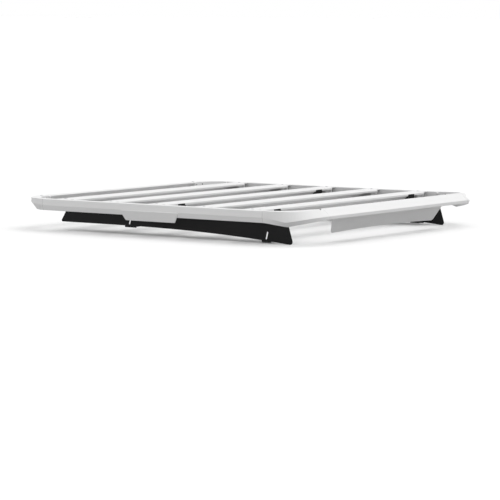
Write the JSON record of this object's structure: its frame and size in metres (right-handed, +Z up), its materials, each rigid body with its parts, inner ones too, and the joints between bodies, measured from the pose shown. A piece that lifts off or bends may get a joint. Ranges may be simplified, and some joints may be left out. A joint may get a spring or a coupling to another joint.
{
  "type": "flat platform roof rack",
  "caption": "Flat platform roof rack: wide crossbars in a rounded frame with cast corners, on folded mount rails with feet, with side plates and a wind deflector.",
  "frame": {"origin": "middle of the bounding box on the floor", "axes": "+X to the vehicle's front, +Y to its left, +Z up; the deck of crossbars is level"},
  "size_m": [1.589, 1.4366, 0.156],
  "materials": {
    "silver_coat": "satin silver powder coat",
    "black_coat": "satin black powder coat",
    "black_rubber": "matt black"
  },
  "bodies": {
    "root": {"crossbar_1": "silver_coat", "crossbar_1_left_end": "silver_coat", "crossbar_1_right_end": "silver_coat", "crossbar_2": "silver_coat", "crossbar_2_left_end": "silver_coat", "crossbar_2_right_end": "silver_coat", "crossbar_3": "silver_coat", "crossbar_3_left_clamp": "black_coat", "crossbar_3_left_end": "silver_coat", "crossbar_3_right_clamp": "black_coat", "crossbar_3_right_end": "silver_coat", "crossbar_4": "silver_coat", "crossbar_4_left_end": "silver_coat", "crossbar_4_right_end": "silver_coat", "crossbar_5": "silver_coat", "crossbar_5_left_clamp": "black_coat", "crossbar_5_left_end": "silver_coat", "crossbar_5_right_clamp": "black_coat", "crossbar_5_right_end": "silver_coat", "front_left_corner": "silver_coat", "front_left_foot": "black_rubber", "front_rail": "silver_coat", "front_right_corner": "silver_coat", "front_right_foot": "black_rubber", "left_deflector_bracket": "black_coat", "left_mount_rail": "black_coat", "left_side_plate": "silver_coat", "left_side_rail": "silver_coat", "rear_left_corner": "silver_coat", "rear_left_foot": "black_rubber", "rear_rail": "silver_coat", "rear_right_corner": "silver_coat", "rear_right_foot": "black_rubber", "right_deflector_bracket": "black_coat", "right_mount_rail": "black_coat", "right_side_plate": "silver_coat", "right_side_rail": "silver_coat", "wind_deflector": "silver_coat"}
  },
  "joints": []
}
